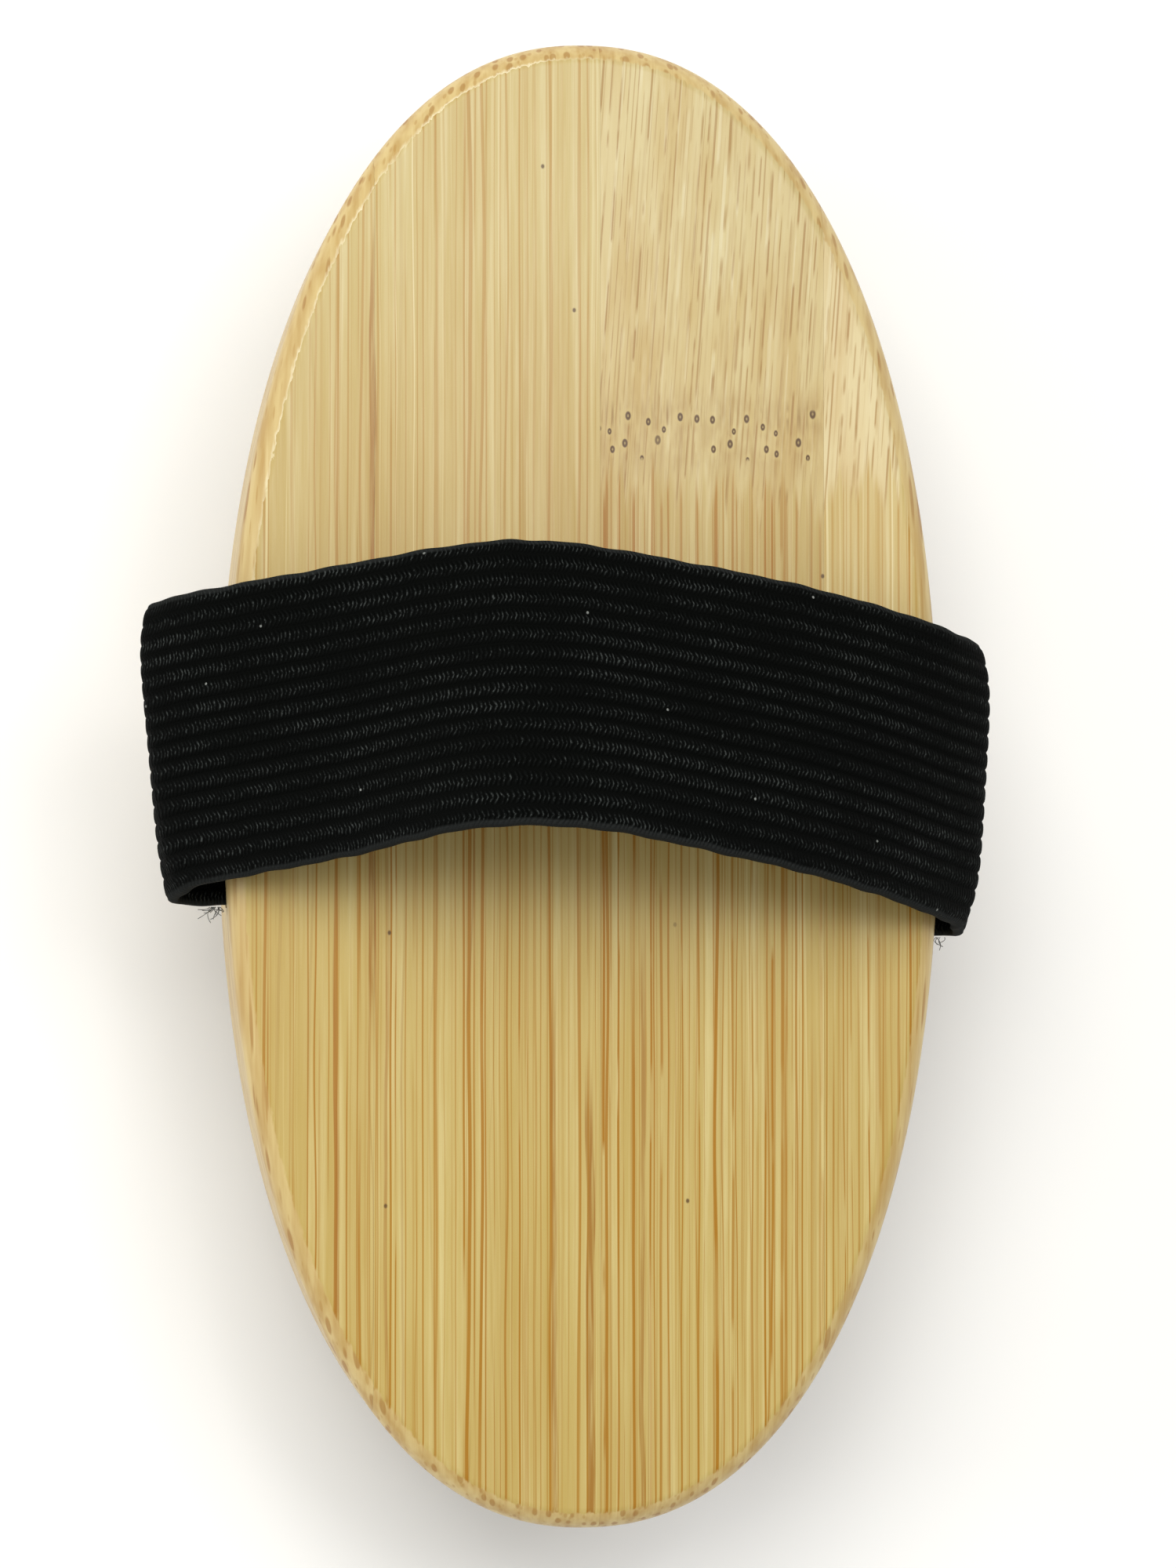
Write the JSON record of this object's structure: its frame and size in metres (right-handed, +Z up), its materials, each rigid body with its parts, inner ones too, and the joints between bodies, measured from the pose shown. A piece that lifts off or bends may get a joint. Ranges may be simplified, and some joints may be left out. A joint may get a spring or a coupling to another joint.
{
  "type": "body dry brush",
  "caption": "Oval bamboo body brush for dry brushing, with a wide black elastic hand strap across the top and tufts of pale natural bristle in oval rings below.",
  "frame": {"origin": "on the plane of the bristle tips, at the middle tuft, under the middle of the block", "axes": "+Z up from the bristle tips through the block to the strap; +Y along the block, towards the side the slack strap flops to; +X across the block, towards the side where the strap stands out less"},
  "size_m": [0.0768, 0.132, 0.0562],
  "materials": {
    "bamboo": "carbonised-free pale bamboo, sanded, satin clear coat",
    "elastic": "black ribbed woven elastic, matt with a soft sheen on the ribs",
    "tack_steel": "bright wire",
    "bristle": "pale natural bristle, trimmed flat"
  },
  "bodies": {
    "brush_block": {"bristle_board": "bamboo", "bamboo_strip_1": "bamboo", "bamboo_strip_2": "bamboo", "bamboo_strip_3": "bamboo", "bamboo_strip_4": "bamboo", "strap_tack_left_rear": "tack_steel", "strap_tack_left_front": "tack_steel", "strap_tack_right_rear": "tack_steel", "strap_tack_right_front": "tack_steel", "bristle_tuft_01": "bristle", "bristle_tuft_02": "bristle", "bristle_tuft_03": "bristle", "bristle_tuft_04": "bristle", "bristle_tuft_05": "bristle", "bristle_tuft_06": "bristle", "bristle_tuft_07": "bristle", "bristle_tuft_08": "bristle", "bristle_tuft_09": "bristle", "bristle_tuft_10": "bristle", "bristle_tuft_11": "bristle", "bristle_tuft_12": "bristle", "bristle_tuft_13": "bristle", "bristle_tuft_14": "bristle", "bristle_tuft_15": "bristle", "bristle_tuft_16": "bristle", "bristle_tuft_17": "bristle", "bristle_tuft_18": "bristle", "bristle_tuft_19": "bristle", "bristle_tuft_20": "bristle", "bristle_tuft_21": "bristle", "bristle_tuft_22": "bristle", "bristle_tuft_23": "bristle", "bristle_tuft_24": "bristle", "bristle_tuft_25": "bristle", "bristle_tuft_26": "bristle", "bristle_tuft_27": "bristle", "bristle_tuft_28": "bristle", "bristle_tuft_29": "bristle", "bristle_tuft_30": "bristle", "bristle_tuft_31": "bristle", "bristle_tuft_32": "bristle", "bristle_tuft_33": "bristle", "bristle_tuft_34": "bristle", "bristle_tuft_35": "bristle", "bristle_tuft_36": "bristle", "bristle_tuft_37": "bristle", "bristle_tuft_38": "bristle", "bristle_tuft_39": "bristle", "bristle_tuft_40": "bristle", "bristle_tuft_41": "bristle", "bristle_tuft_42": "bristle", "bristle_tuft_43": "bristle", "bristle_tuft_44": "bristle", "bristle_tuft_45": "bristle", "bristle_tuft_46": "bristle", "bristle_tuft_47": "bristle", "bristle_tuft_48": "bristle", "bristle_tuft_49": "bristle"},
    "strap_loop": {"elastic_strap": "elastic"}
  },
  "joints": [
    {"name": "strap_lift", "type": "slide", "parent": "brush_block", "child": "strap_loop", "axis": [0, 0, 1], "range_m": [-0.014, 0.015], "stiffness_N_per_m": 300, "deforming": ["elastic_strap"]}
  ]
}
